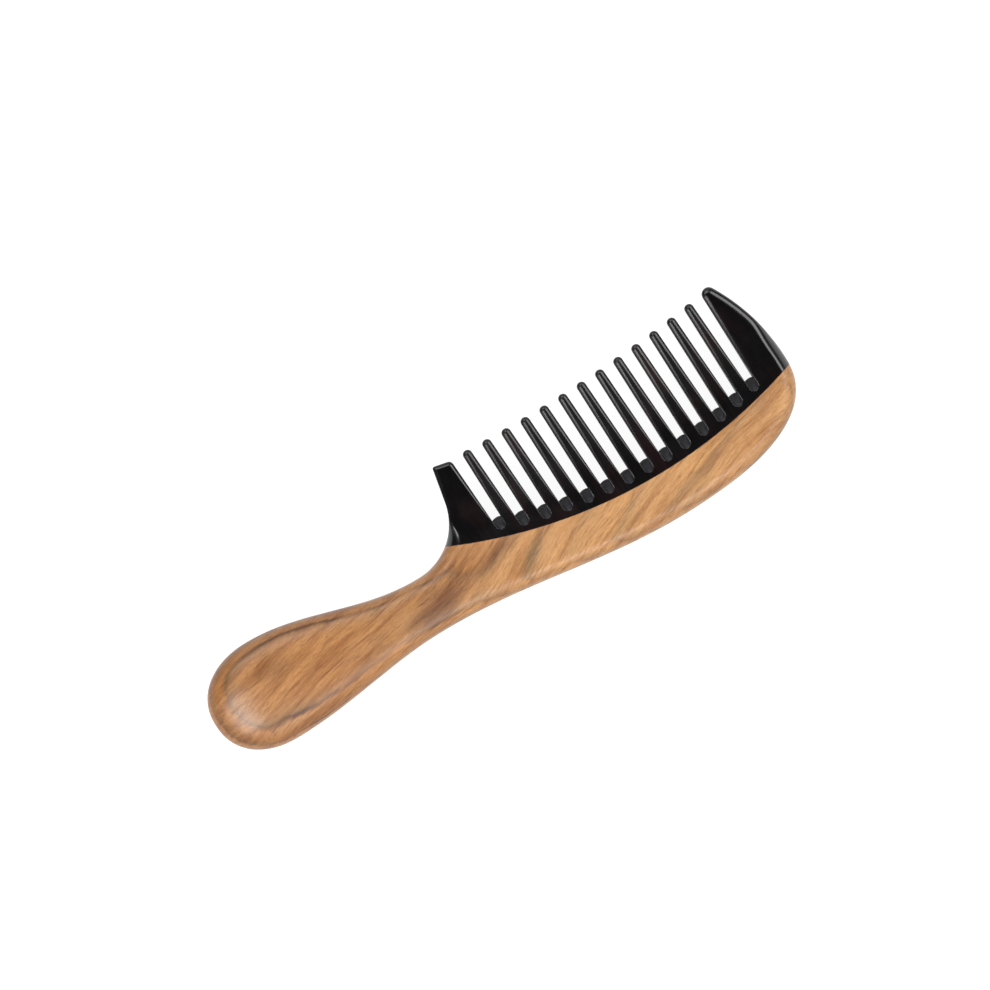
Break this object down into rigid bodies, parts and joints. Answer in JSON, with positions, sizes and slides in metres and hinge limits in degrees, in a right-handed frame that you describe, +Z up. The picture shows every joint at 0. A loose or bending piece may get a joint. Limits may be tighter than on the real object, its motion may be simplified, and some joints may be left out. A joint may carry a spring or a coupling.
{
  "type": "handled hair comb",
  "caption": "Wide-tooth hair comb: a dark tapered tooth plate glued along a curved joint into a wooden back that runs on into a rounded handle.",
  "frame": {"origin": "bottom centre of the whole comb's box, with the comb lying on its side face", "axes": "+X from the handle to the head, +Y from the back to the teeth's tips, +Z up out of one broad face"},
  "size_m": [0.2, 0.0526, 0.015],
  "materials": {
    "handle_wood": "sanded smooth and waxed, satin, with olive and brown figure along the grain",
    "horn": null,
    "glue": "cured amber glue film, seen only as a hairline"
  },
  "bodies": {
    "root": {"wooden_handle": "handle_wood", "horn_tooth_plate": "horn", "glue_line": "glue"}
  },
  "joints": []
}
